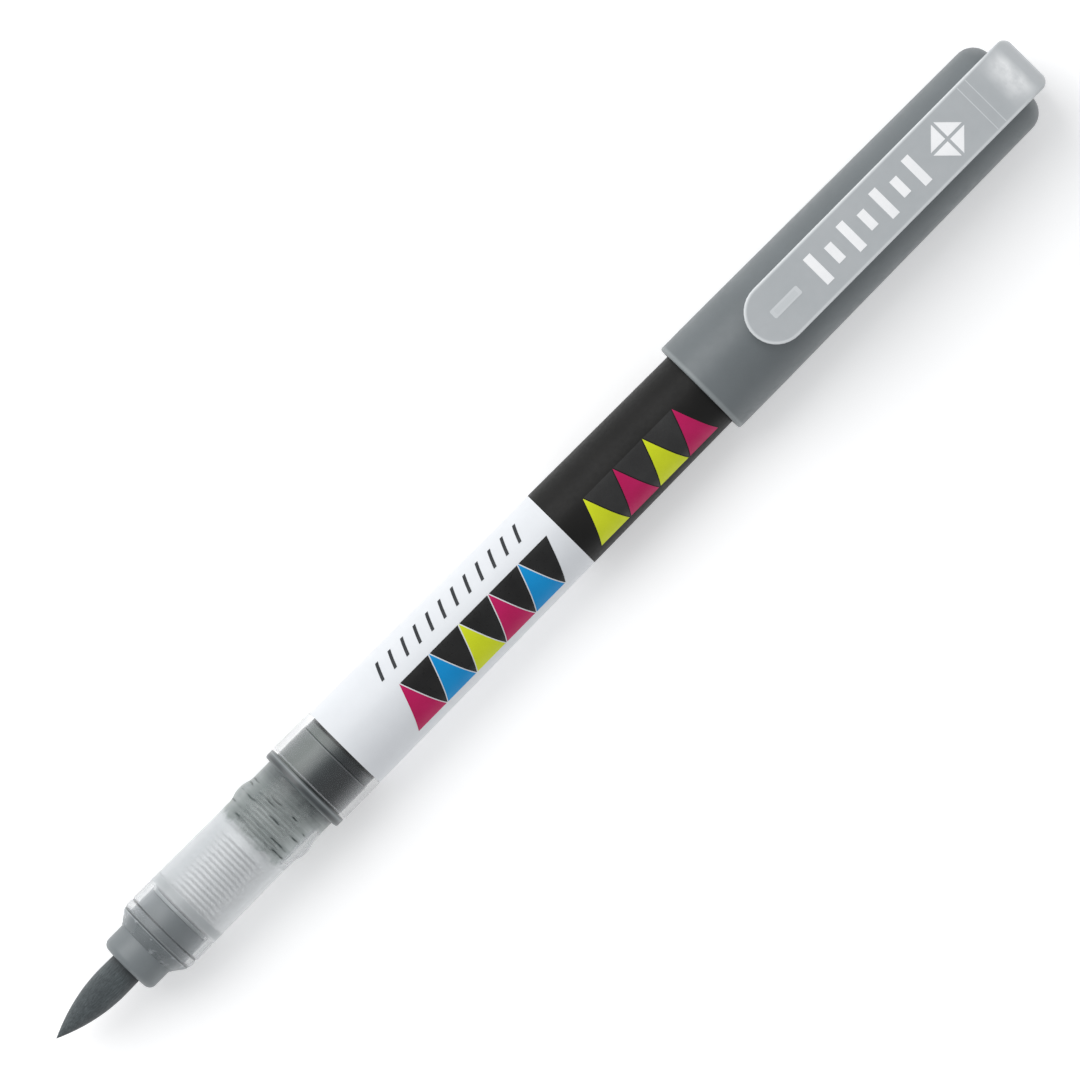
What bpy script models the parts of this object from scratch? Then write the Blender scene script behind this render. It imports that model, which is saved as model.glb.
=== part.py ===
"""A free-ink brush calligraphy marker, lying along X with its cap posted on the tail.

The nib points to -X and the clip to +Z. Places along the pen are stations: distances
behind the nib's tip. Radii are measured to the middle of a facet.
"""

import math

import bmesh
import bpy
from mathutils import Vector

MM = 0.001
SEGMENTS = 24
COMB_SEGMENTS = 16
FIT = 0.10 * MM
SEAM = 0.15 * MM
MERGE = 0.001 * MM

LENGTH = 164.05 * MM

NIB_RADIUS = 2.19 * MM
NIB_WIDEST = 9.5 * MM
NIB_BASE_RADIUS = 2.14 * MM
NIB_STEM_START = 14.3 * MM
NIB_STEM_END = 18.7 * MM
NIB_BORE = 2.27 * MM

COLLAR_FACE = 11.9 * MM
COLLAR_RADIUS = 3.93 * MM
COLLAR_CORNER = 0.8 * MM
COLLAR_FLANGE = 17.0 * MM
COLLAR_FLANGE_RADIUS = 4.4 * MM
COLLAR_END = 21.1 * MM

GRIP_NOSE = 15.2 * MM
GRIP_NOSE_RADIUS = 4.25 * MM
GRIP_CONE = 16.5 * MM
GRIP_CONE_RADIUS = 4.95 * MM
GRIP_SHOULDER = 17.4 * MM
GRIP_FRONT_RADIUS = 5.33 * MM
GRIP_GROOVE = 18.3 * MM
GRIP_GROOVE_WIDTH = 0.3 * MM
GRIP_GROOVE_DEPTH = 0.15 * MM
GRIP_REAR = 34.0 * MM
GRIP_REAR_RADIUS = 5.2 * MM
GRIP_BORE = 4.5 * MM
SNAP_START = 35.0 * MM
SNAP_END = 38.3 * MM
SNAP_RADIUS = 5.58 * MM
FLANGE_START = 41.4 * MM
FLANGE_RADIUS = 5.95 * MM
FLANGE_CORNER = 0.45 * MM
SPIGOT_START = 42.6 * MM
SPIGOT_RADIUS = 5.1 * MM
SPIGOT_END = 47.26 * MM

COMB_FRONT = 22.05 * MM
COMB_GAP = 0.3 * MM
FRONT_GAPS_START = 22.8 * MM
FRONT_GAPS = 14
FRONT_GAP_PITCH = 0.66 * MM
REAR_GAPS_START = 32.85 * MM
REAR_GAPS = 13
REAR_GAP_PITCH = 0.58 * MM
COMB_END = 40.7 * MM
COMB_RADIUS = 4.3 * MM
COMB_CORE_RADIUS = 2.3 * MM
COMB_NECK_RADIUS = 2.05 * MM
BAFFLE_START = 41.6 * MM
BAFFLE_END = 42.6 * MM
WICK_RADIUS = 1.2 * MM
WICK_END = 47.0 * MM

BARREL_START = 42.85 * MM
BARREL_END = 131.2 * MM
BARREL_RADIUS = 6.0 * MM
BARREL_DRAFT = 0.0076
BARREL_WALL = 0.9 * MM
SOCKET_END = 47.5 * MM
LABEL_START = 48.87 * MM
LABEL_END = 127.0 * MM
LABEL_SEAT = 0.18 * MM
LABEL_THICKNESS = 0.12 * MM

INK_VOLUME = 2400 * MM**3
BALL_CHANNEL = 2.5 * MM
BALL_RADIUS = 2.2 * MM
BALL_STATION = 62.0 * MM

PLUG_DEPTH = 4.5 * MM
PLUG_HEAD = 0.9 * MM
PLUG_CORNER = 0.3 * MM
PLUG_WALL = 0.9 * MM

CAP_MOUTH = 108.99 * MM
CAP_BAND_END = 115.0 * MM
CAP_END = 161.55 * MM
CAP_MOUTH_RADIUS = 6.65 * MM
CAP_END_RADIUS = 6.27 * MM
CAP_WALL = 0.95 * MM
CAP_MOUTH_CORNER = 0.35 * MM
CAP_END_CORNER = 2.6 * MM
CAP_END_WALL = 1.2 * MM
CAP_BEAD_RADIUS = 5.6 * MM
CAP_BEAD_START = 109.7 * MM
CAP_BEAD_END = 111.2 * MM

LINER_MOUTH = 135.8 * MM
LINER_END = 159.3 * MM
LINER_BORE = 4.05 * MM
LINER_WALL = 0.8 * MM
LINER_FLANGE = 157.9 * MM
LINER_FLANGE_RADIUS = 5.15 * MM
LINER_FLANGE_CORNER = 0.6 * MM
LINER_FLOOR = 0.9 * MM

CLIP_TIP = 117.86 * MM
CLIP_HINGE = 157.7 * MM
CLIP_WIDTH = 7.7 * MM
CLIP_THICKNESS = 1.2 * MM
CLIP_TOP = 8.6 * MM
CLIP_BEND = 0.75 * MM
CROWN_FACE = 161.7 * MM
CROWN_BRACE = 1.8 * MM
CROWN_BRACE_FOOT = 5.2 * MM
PEG_RADIUS = 1.9 * MM
PEG_BARB_RADIUS = 2.4 * MM
PEG_BARB_END = 159.5 * MM
BUMP_START = 121.07 * MM
BUMP_LENGTH = 4.5 * MM
BUMP_WIDTH = 1.1 * MM
BUMP_GAP = 0.25 * MM

AXIS_HEIGHT = CAP_MOUTH_RADIUS
HALF_LENGTH = LENGTH / 2


def barrel_radius(station):
    """Outer radius of the barrel, which narrows towards the tail like any moulded tube."""
    return BARREL_RADIUS - BARREL_DRAFT * (station - BARREL_START)


def cap_radius(station):
    """Outer radius of the cap: straight at the mouth band, then narrowing to its end."""
    along = max(0.0, (station - CAP_BAND_END) / (CAP_END - CAP_BAND_END))
    return CAP_MOUTH_RADIUS + (CAP_END_RADIUS - CAP_MOUTH_RADIUS) * along


def rounded(station, radius, corner, start, end, steps=3):
    """Points of an arc about (station, radius), from the start angle to the end, in degrees."""
    points = []
    for step in range(steps + 1):
        angle = math.radians(start + (end - start) * step / steps)
        points.append((station + corner * math.cos(angle), radius + corner * math.sin(angle)))
    return points


def place(station):
    """World X of a station."""
    return station - HALF_LENGTH


def clear_scene():
    for obj in list(bpy.data.objects):
        bpy.data.objects.remove(obj, do_unlink=True)


def new_collection(name):
    collection = bpy.data.collections.new(name)
    bpy.context.scene.collection.children.link(collection)
    return collection


def finish(name, colour, roughness, metallic=0.0, alpha=1.0):
    """A Principled material."""
    material = bpy.data.materials.new(name)
    material.use_nodes = True
    shader = material.node_tree.nodes["Principled BSDF"]
    shader.inputs["Base Color"].default_value = (*colour, 1.0)
    shader.inputs["Roughness"].default_value = roughness
    shader.inputs["Metallic"].default_value = metallic
    shader.inputs["Alpha"].default_value = alpha
    return material


def add_mesh_object(name, mesh, collection):
    obj = bpy.data.objects.new(name, mesh)
    collection.objects.link(obj)
    return obj


def turned(name, outer, inner, origin, collection, segments=SEGMENTS):
    """A solid of revolution about the pen's axis.

    Both profiles are (station, radius) points from front to rear. With no inner profile
    the outer one starts and ends on the axis.
    """
    stretch = 1 / math.cos(math.pi / segments)
    profile = list(reversed(outer)) + list(inner)
    points = [(radius * stretch, 0.0, station - origin) for station, radius in profile]
    edges = [(i, i + 1) for i in range(len(points) - 1)]
    if inner:
        edges.append((len(points) - 1, 0))
    mesh = bpy.data.meshes.new(name)
    mesh.from_pydata(points, edges, [])
    obj = add_mesh_object(name, mesh, collection)
    screw = obj.modifiers.new("Turn", "SCREW")
    screw.steps = segments
    screw.render_steps = segments
    screw.use_merge_vertices = True
    screw.merge_threshold = MERGE
    screw.use_smooth_shade = True
    obj.parent = pen_axis
    obj.location = (0.0, 0.0, origin)
    obj.rotation_euler = (0.0, 0.0, math.pi / segments)
    return obj


def plate(name, outline, thickness, collection):
    """A flat piece: an outline in XY, with its thickness centred on the outline's plane."""
    curve = bpy.data.curves.new(name, "CURVE")
    curve.dimensions = "2D"
    curve.fill_mode = "BOTH"
    curve.extrude = thickness / 2
    spline = curve.splines.new("POLY")
    spline.points.add(len(outline) - 1)
    for point, (x, y) in zip(spline.points, outline):
        point.co = (x, y, 0.0, 1.0)
    spline.use_cyclic_u = True
    drawn = add_mesh_object(name + "_outline", curve, collection)
    graph = bpy.context.evaluated_depsgraph_get()
    mesh = bpy.data.meshes.new_from_object(drawn.evaluated_get(graph))
    bpy.data.objects.remove(drawn, do_unlink=True)
    work = bmesh.new()
    work.from_mesh(mesh)
    bmesh.ops.remove_doubles(work, verts=work.verts, dist=MERGE)
    bmesh.ops.recalc_face_normals(work, faces=work.faces)
    work.to_mesh(mesh)
    work.free()
    mesh.name = name
    return add_mesh_object(name, mesh, collection)


def as_helper(obj):
    obj.hide_render = True
    obj.display_type = "WIRE"


def boolean(obj, operation, other):
    modifier = obj.modifiers.new(operation.title(), "BOOLEAN")
    modifier.operation = operation
    modifier.object = other
    as_helper(other)


def add_brush_nib():
    """The flexible fibre tip, which pivots on a round base, and the stem that stays still."""
    steps = 9
    tip = [(0.0, 0.0)]
    for step in range(1, steps + 1):
        station = NIB_WIDEST * step / steps
        tip.append((station, NIB_RADIUS * (1 - (1 - step / steps) ** 2)))
    tip += rounded(COLLAR_FACE, 0.0, NIB_BASE_RADIUS, 90, 0, 4)
    nib = turned("brush_nib_tip", tip, [], COLLAR_FACE, parts)
    nib.data.materials.append(finish("nib fibre", (0.065, 0.082, 0.09), 0.75))
    stem = [(NIB_STEM_START, 0.0), (NIB_STEM_START, NIB_BASE_RADIUS)]
    stem += [(NIB_STEM_END, NIB_BASE_RADIUS), (NIB_STEM_END, 0.0)]
    rear = turned("brush_nib_stem", stem, [], COLLAR_FACE, parts)
    rear.data.materials.append(finish("nib stem fibre", (0.065, 0.082, 0.09), 0.8))


def add_nib_collar():
    """The grey nib holder: a round nose in front of the grip and a flange inside it."""
    centre = COLLAR_RADIUS - COLLAR_CORNER
    outer = rounded(COLLAR_FACE + COLLAR_CORNER, centre, COLLAR_CORNER, 180, 90, 4)
    outer += [(COLLAR_FLANGE, COLLAR_RADIUS), (COLLAR_FLANGE, COLLAR_FLANGE_RADIUS - FIT)]
    outer += [(COLLAR_FLANGE + FIT, COLLAR_FLANGE_RADIUS), (COLLAR_END, COLLAR_FLANGE_RADIUS)]
    inner = [(COLLAR_FACE, NIB_BORE), (COLLAR_END, NIB_BORE)]
    collar = turned("nib_collar", outer, inner, COLLAR_FACE, parts)
    collar.data.materials.append(finish("collar plastic", (0.22, 0.25, 0.27), 0.42))


def add_grip_section():
    """The clear grip shell, with its snap ring, its stop flange and its spigot."""
    nose_step = COLLAR_FLANGE - SEAM
    outer = [(GRIP_NOSE, GRIP_NOSE_RADIUS)]
    outer += [(GRIP_CONE, GRIP_CONE_RADIUS), (GRIP_SHOULDER, GRIP_FRONT_RADIUS)]
    floor = GRIP_FRONT_RADIUS - GRIP_GROOVE_DEPTH
    edge = GRIP_GROOVE_WIDTH / 2
    flat = GRIP_GROOVE_WIDTH / 3
    outer += [(GRIP_GROOVE - edge, GRIP_FRONT_RADIUS), (GRIP_GROOVE - flat, floor)]
    outer += [(GRIP_GROOVE + flat, floor), (GRIP_GROOVE + edge, GRIP_FRONT_RADIUS)]
    outer += [(GRIP_REAR, GRIP_REAR_RADIUS), (SNAP_START, GRIP_REAR_RADIUS)]
    snap_middle = (SNAP_START + SNAP_END) / 2
    snap_rise = SNAP_RADIUS - GRIP_REAR_RADIUS
    for share in (-0.55, 0.0, 0.55):
        station = snap_middle + share * (SNAP_END - SNAP_START) / 2
        outer.append((station, GRIP_REAR_RADIUS + snap_rise * (1 - share**2)))
    outer += [(SNAP_END, GRIP_REAR_RADIUS), (FLANGE_START, GRIP_REAR_RADIUS)]
    corner_centre = FLANGE_RADIUS - FLANGE_CORNER
    outer += rounded(FLANGE_START + FLANGE_CORNER, corner_centre, FLANGE_CORNER, 180, 90)
    outer += [(SPIGOT_START, FLANGE_RADIUS), (SPIGOT_START, SPIGOT_RADIUS)]
    outer += [(SPIGOT_END - FIT, SPIGOT_RADIUS), (SPIGOT_END, SPIGOT_RADIUS - FIT)]
    nose_bore = COLLAR_RADIUS + FIT
    inner = [(GRIP_NOSE, nose_bore), (nose_step, nose_bore), (nose_step, GRIP_BORE)]
    inner += [(SPIGOT_END, GRIP_BORE)]
    grip = turned("grip_section", outer, inner, GRIP_NOSE, parts)
    grip.data.materials.append(finish("clear frosted plastic", (0.72, 0.76, 0.78), 0.25, alpha=0.55))


def comb_gaps(start, pitch, count):
    """Profile points of a row of narrow gaps between fins."""
    points = []
    for gap in range(count):
        front = start + gap * pitch
        rear = front + COMB_GAP
        points += [(front, COMB_RADIUS), (front, COMB_CORE_RADIUS)]
        points += [(rear, COMB_CORE_RADIUS), (rear, COMB_RADIUS)]
    return points


def add_comb_feed():
    """The ink buffer: a fine and a finer row of fins, a plain disc between them, and a baffle
    that closes the tank."""
    outer = [(NIB_STEM_END + SEAM, COMB_NECK_RADIUS), (COMB_FRONT, COMB_NECK_RADIUS)]
    outer.append((COMB_FRONT, COMB_RADIUS))
    outer += comb_gaps(FRONT_GAPS_START, FRONT_GAP_PITCH, FRONT_GAPS)
    outer += comb_gaps(REAR_GAPS_START, REAR_GAP_PITCH, REAR_GAPS)
    outer += [(COMB_END, COMB_RADIUS), (COMB_END, COMB_CORE_RADIUS)]
    outer += [(BAFFLE_START, COMB_CORE_RADIUS), (BAFFLE_START, COMB_RADIUS)]
    outer += [(BAFFLE_END, COMB_RADIUS)]
    bore = WICK_RADIUS + FIT
    inner = [(NIB_STEM_END + SEAM, bore), (BAFFLE_END, bore)]
    comb = turned("comb_feed", outer, inner, COMB_FRONT, parts, COMB_SEGMENTS)
    comb.data.materials.append(finish("comb plastic", (0.62, 0.66, 0.68), 0.35))


def add_feed_wick():
    front = NIB_STEM_END + SEAM
    outer = [(front, 0.0), (front, WICK_RADIUS), (WICK_END, WICK_RADIUS), (WICK_END, 0.0)]
    wick = turned("feed_wick", outer, [], front, parts, COMB_SEGMENTS)
    wick.data.materials.append(finish("wick fibre", (0.09, 0.105, 0.115), 0.85))


def add_barrel():
    """The clear ink barrel, open at both ends, with a shallow seat for the label."""
    chamfer = 2 * FIT
    seat_front = LABEL_START - FIT
    seat_rear = LABEL_END + FIT
    outer = [(BARREL_START, BARREL_RADIUS - chamfer), (BARREL_START + chamfer, BARREL_RADIUS)]
    outer += [(seat_front, barrel_radius(seat_front))]
    outer += [(seat_front, barrel_radius(seat_front) - LABEL_SEAT)]
    outer += [(seat_rear, barrel_radius(seat_rear) - LABEL_SEAT)]
    outer += [(seat_rear, barrel_radius(seat_rear)), (BARREL_END, barrel_radius(BARREL_END))]
    socket = SPIGOT_RADIUS + FIT / 2
    inner = [(BARREL_START, socket), (SOCKET_END, socket)]
    inner += [(SOCKET_END, barrel_radius(SOCKET_END) - BARREL_WALL)]
    inner += [(BARREL_END, barrel_radius(BARREL_END) - BARREL_WALL)]
    barrel = turned("barrel", outer, inner, BARREL_START, parts)
    barrel.data.materials.append(finish("clear barrel plastic", (0.85, 0.87, 0.88), 0.12, alpha=0.35))


def add_barrel_label():
    """The printed film round the barrel."""
    outer = []
    inner = []
    for station in (LABEL_START, LABEL_END):
        seat = barrel_radius(station) - LABEL_SEAT
        outer.append((station, seat + FIT / 2 + LABEL_THICKNESS))
        inner.append((station, seat + FIT / 2))
    label = turned("barrel_label", outer, inner, LABEL_START, parts)
    label.data.materials.append(finish("label film", (0.8, 0.82, 0.86), 0.4))


def ink_radius(station):
    return barrel_radius(station) - BARREL_WALL - FIT


def ink_end():
    """Station where the ink stops, from its volume and the room round the ball's channel."""
    channel = BALL_CHANNEL**2
    in_spigot = math.pi * (GRIP_BORE**2 - channel) * (SPIGOT_END - BAFFLE_END)
    middle_radius = ink_radius(BALL_STATION)
    return SOCKET_END + (INK_VOLUME - in_spigot) / (math.pi * (middle_radius**2 - channel))


def add_ink_charge():
    """The ink, as a sleeve that leaves the mixing ball its path."""
    front = BAFFLE_END + SEAM
    neck_end = SPIGOT_END + SEAM
    end = ink_end()
    neck = GRIP_BORE - FIT
    outer = [(front, neck), (neck_end, neck), (neck_end, ink_radius(SOCKET_END) - FIT)]
    outer += [(SOCKET_END, ink_radius(SOCKET_END)), (end, ink_radius(end))]
    inner = [(front, BALL_CHANNEL), (end, BALL_CHANNEL)]
    ink = turned("ink_charge", outer, inner, front, parts)
    ink.data.materials.append(finish("grey pigment ink", (0.075, 0.09, 0.095), 0.15))


def add_mixing_ball():
    mesh = bpy.data.meshes.new("mixing_ball")
    work = bmesh.new()
    bmesh.ops.create_uvsphere(work, u_segments=16, v_segments=10, radius=BALL_RADIUS)
    work.to_mesh(mesh)
    work.free()
    mesh.shade_smooth()
    ball = add_mesh_object("mixing_ball", mesh, parts)
    ball.parent = pen_axis
    ball.location = (0.0, 0.0, BALL_STATION)
    ball.data.materials.append(finish("ball steel", (0.6, 0.61, 0.62), 0.2, metallic=1.0))


def add_tail_plug():
    """The plug that closes the tail of the barrel."""
    head_start = BARREL_END + SEAM
    head_end = head_start + PLUG_HEAD
    stem = barrel_radius(BARREL_END) - BARREL_WALL - FIT
    head = barrel_radius(BARREL_END)
    front = BARREL_END - PLUG_DEPTH
    outer = [(front, stem - 2 * FIT), (front + 4 * FIT, stem), (head_start, stem)]
    outer += [(head_start, head)]
    outer += rounded(head_end - PLUG_CORNER, head - PLUG_CORNER, PLUG_CORNER, 90, 0, 2)
    outer += [(head_end, 0.0)]
    cup = stem - PLUG_WALL
    hollow = [(head_start, 0.0), (head_start, cup), (front, cup)]
    plug = turned("tail_plug", hollow + outer, [], BARREL_END, parts)
    plug.data.materials.append(finish("tail plug plastic", (0.16, 0.18, 0.19), 0.45))


def add_cap_shell():
    """The cap: a narrowing tube with a bead inside its mouth and a peg hole in its end."""
    corner = CAP_MOUTH_CORNER
    outer = rounded(CAP_MOUTH + corner, CAP_MOUTH_RADIUS - corner, corner, 180, 90, 2)
    outer.append((CAP_BAND_END, CAP_MOUTH_RADIUS))
    bend = CAP_END - CAP_END_CORNER
    outer += rounded(bend, cap_radius(bend) - CAP_END_CORNER, CAP_END_CORNER, 90, 0, 6)
    bore = CAP_MOUTH_RADIUS - CAP_WALL
    inner = [(CAP_MOUTH, bore + 2 * FIT), (CAP_MOUTH + 2 * FIT, bore)]
    inner += [(CAP_BEAD_START, bore), (CAP_BEAD_START + FIT, CAP_BEAD_RADIUS)]
    inner += [(CAP_BEAD_END - FIT, CAP_BEAD_RADIUS), (CAP_BEAD_END, bore)]
    inner += [(CAP_BAND_END, bore)]
    floor = CAP_END - CAP_END_WALL
    inside_bend = floor - (CAP_END_CORNER - CAP_WALL)
    inside_radius = cap_radius(inside_bend) - CAP_WALL
    inner.append((inside_bend, inside_radius))
    inner.append((floor, inside_radius - (CAP_END_CORNER - CAP_WALL)))
    hole = PEG_RADIUS + FIT
    inner += [(floor, hole), (CAP_END, hole)]
    cap = turned("cap_shell", outer, inner, CAP_MOUTH, parts)
    cap.data.materials.append(finish("grey cap plastic", (0.165, 0.19, 0.2), 0.45))


def add_cap_liner():
    """The sealing cup inside the cap, which closes on the nib collar."""
    tube = LINER_BORE + LINER_WALL
    floor = LINER_END - LINER_FLOOR
    inside = [(floor, 0.0), (floor, LINER_BORE), (LINER_MOUTH + 5 * FIT, LINER_BORE)]
    inside += [(LINER_MOUTH, LINER_BORE + 3 * FIT)]
    outside = [(LINER_MOUTH, tube - FIT), (LINER_MOUTH + FIT, tube), (LINER_FLANGE, tube)]
    outside += [(LINER_FLANGE, LINER_FLANGE_RADIUS)]
    outside += [(LINER_END - LINER_FLANGE_CORNER, LINER_FLANGE_RADIUS)]
    outside += [(LINER_END, LINER_FLANGE_RADIUS - LINER_FLANGE_CORNER), (LINER_END, 0.0)]
    liner = turned("cap_liner", inside + outside, [], CAP_MOUTH, parts)
    liner.data.materials.append(finish("liner plastic", (0.55, 0.58, 0.6), 0.5))


def add_clip_crown():
    """The clip's root: the bend over the cap's end, a round-ended plate and its snap peg."""
    half_width = CLIP_WIDTH / 2
    stub = CLIP_HINGE + SEAM
    bottom = CLIP_TOP - CLIP_THICKNESS
    side = [(stub, bottom), (stub, CLIP_TOP)]
    side += rounded(LENGTH - CLIP_BEND, CLIP_TOP - CLIP_BEND, CLIP_BEND, 90, 0, 4)
    side += [(LENGTH, -half_width), (CROWN_FACE, -half_width), (CROWN_FACE, CROWN_BRACE_FOOT)]
    side += [(CROWN_FACE - CROWN_BRACE, bottom)]
    outline = [(place(station), height) for station, height in side]
    crown = plate("clip_crown", outline, CLIP_WIDTH, parts)
    crown.location = (0.0, 0.0, AXIS_HEIGHT)
    crown.rotation_euler = (math.pi / 2, 0.0, 0.0)
    crown.data.materials.append(finish("frosted crown plastic", (0.5, 0.54, 0.57), 0.35, alpha=0.85))

    end_shape = rounded(0.0, 0.0, half_width, 180, 360, 14)
    end_shape += [(half_width, 2 * CLIP_TOP), (-half_width, 2 * CLIP_TOP)]
    end_cutter = plate("crown_end_shape", end_shape, 4 * (LENGTH - stub), helpers)
    end_cutter.location = (place(LENGTH), 0.0, AXIS_HEIGHT)
    end_cutter.rotation_euler = (math.pi / 2, 0.0, math.pi / 2)
    boolean(crown, "INTERSECT", end_cutter)

    wall_inside = CAP_END - CAP_END_WALL
    shank_end = wall_inside - FIT
    peg_base = (CROWN_FACE + LENGTH) / 2
    peg = [(PEG_BARB_END, 0.0), (PEG_BARB_END, PEG_RADIUS - 2 * FIT)]
    peg += [(shank_end - 2 * FIT, PEG_BARB_RADIUS), (shank_end, PEG_BARB_RADIUS)]
    peg += [(shank_end, PEG_RADIUS), (peg_base, PEG_RADIUS), (peg_base, 0.0)]
    boolean(crown, "UNION", turned("crown_peg", peg, [], CAP_END, helpers))


def add_clip_blade():
    """The clip's spring blade, flat with a round free end and a bump that faces the cap."""
    half_width = CLIP_WIDTH / 2
    middle = CLIP_TOP - CLIP_THICKNESS / 2
    reach = CLIP_HINGE - CLIP_TIP
    end_centre = half_width - reach
    outline = [(end_centre + x, y) for x, y in rounded(0.0, 0.0, half_width, 90, 270, 14)]
    outline += [(0.0, -half_width), (0.0, half_width)]
    blade = plate("clip_blade", outline, CLIP_THICKNESS, parts)
    blade.location = (place(CLIP_HINGE), 0.0, AXIS_HEIGHT + middle)
    blade.data.materials.append(finish("frosted blade plastic", (0.5, 0.54, 0.57), 0.35, alpha=0.85))

    bump_end = BUMP_WIDTH / 2
    straight = BUMP_LENGTH / 2 - bump_end
    shape = [(x - straight, y) for x, y in rounded(0.0, 0.0, bump_end, 90, 270, 4)]
    shape += [(x + straight, y) for x, y in rounded(0.0, 0.0, bump_end, 270, 450, 4)]
    lowest = cap_radius(BUMP_START) + BUMP_GAP
    bump = plate("clip_bump", shape, middle - lowest, helpers)
    bump.location = (place(BUMP_START + BUMP_LENGTH / 2), 0.0, AXIS_HEIGHT + (middle + lowest) / 2)
    boolean(blade, "UNION", bump)


clear_scene()
parts = new_collection("brush calligraphy marker")
helpers = new_collection("helpers")
pen_axis = bpy.data.objects.new("pen_axis", None)
parts.objects.link(pen_axis)
pen_axis.empty_display_size = 5 * MM
pen_axis.location = Vector((place(0.0), 0.0, AXIS_HEIGHT))
pen_axis.rotation_euler = (0.0, math.pi / 2, 0.0)

add_brush_nib()
add_nib_collar()
add_grip_section()
add_comb_feed()
add_feed_wick()
add_barrel()
add_barrel_label()
add_ink_charge()
add_mixing_ball()
add_tail_plug()
add_cap_shell()
add_cap_liner()
add_clip_crown()
add_clip_blade()
bpy.context.view_layer.update()
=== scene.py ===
"""The looks of the brush calligraphy marker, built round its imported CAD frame.

Places along the pen are stations: millimetres behind the nib's tip. Places round it are
arcs: millimetres from the top line, positive towards -Y.
"""

import math

import bmesh
import bpy
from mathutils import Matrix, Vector


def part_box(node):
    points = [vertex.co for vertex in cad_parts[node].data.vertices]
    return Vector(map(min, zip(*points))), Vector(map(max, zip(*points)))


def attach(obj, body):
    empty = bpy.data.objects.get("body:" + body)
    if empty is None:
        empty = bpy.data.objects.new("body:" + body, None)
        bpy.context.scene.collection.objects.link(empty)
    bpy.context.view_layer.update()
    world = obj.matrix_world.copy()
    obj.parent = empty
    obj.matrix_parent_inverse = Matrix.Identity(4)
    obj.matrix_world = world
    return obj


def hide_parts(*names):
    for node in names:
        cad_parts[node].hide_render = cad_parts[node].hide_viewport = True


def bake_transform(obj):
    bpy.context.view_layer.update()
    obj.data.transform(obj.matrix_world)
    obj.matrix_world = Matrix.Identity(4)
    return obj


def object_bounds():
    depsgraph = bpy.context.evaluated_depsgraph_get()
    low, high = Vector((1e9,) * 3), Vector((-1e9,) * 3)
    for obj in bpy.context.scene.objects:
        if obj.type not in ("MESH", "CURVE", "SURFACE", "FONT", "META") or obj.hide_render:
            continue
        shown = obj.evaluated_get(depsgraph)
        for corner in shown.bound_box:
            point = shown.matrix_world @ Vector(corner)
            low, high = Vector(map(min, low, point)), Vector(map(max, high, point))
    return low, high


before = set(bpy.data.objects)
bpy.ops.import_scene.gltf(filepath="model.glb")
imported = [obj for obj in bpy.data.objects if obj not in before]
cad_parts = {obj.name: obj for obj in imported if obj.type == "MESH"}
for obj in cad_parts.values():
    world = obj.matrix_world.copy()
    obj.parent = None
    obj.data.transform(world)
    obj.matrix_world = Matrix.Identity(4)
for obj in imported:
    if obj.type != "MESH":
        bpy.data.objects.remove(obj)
cad_low, cad_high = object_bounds()

MM = 0.001
TIP_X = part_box("brush_nib_tip")[0].x
AXIS_Z = sum(corner.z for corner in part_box("barrel")) / 2
ROUND = 112
EDGE = 0.05


def front(node):
    """Station of a CAD node's front end."""
    return (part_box(node)[0].x - TIP_X) / MM


def rear(node):
    """Station of a CAD node's rear end."""
    return (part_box(node)[1].x - TIP_X) / MM


def widest(node):
    """Largest radius of a round CAD node, in millimetres."""
    low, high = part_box(node)
    return (high.y - low.y) / 2 / MM


def point(station, across, up):
    """A place in the row frame, from millimetres along, across (+Y) and above the pen's axis."""
    return Vector((TIP_X + station * MM, across * MM, AXIS_Z + up * MM))


# ---------------------------------------------------------------- node materials


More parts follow.
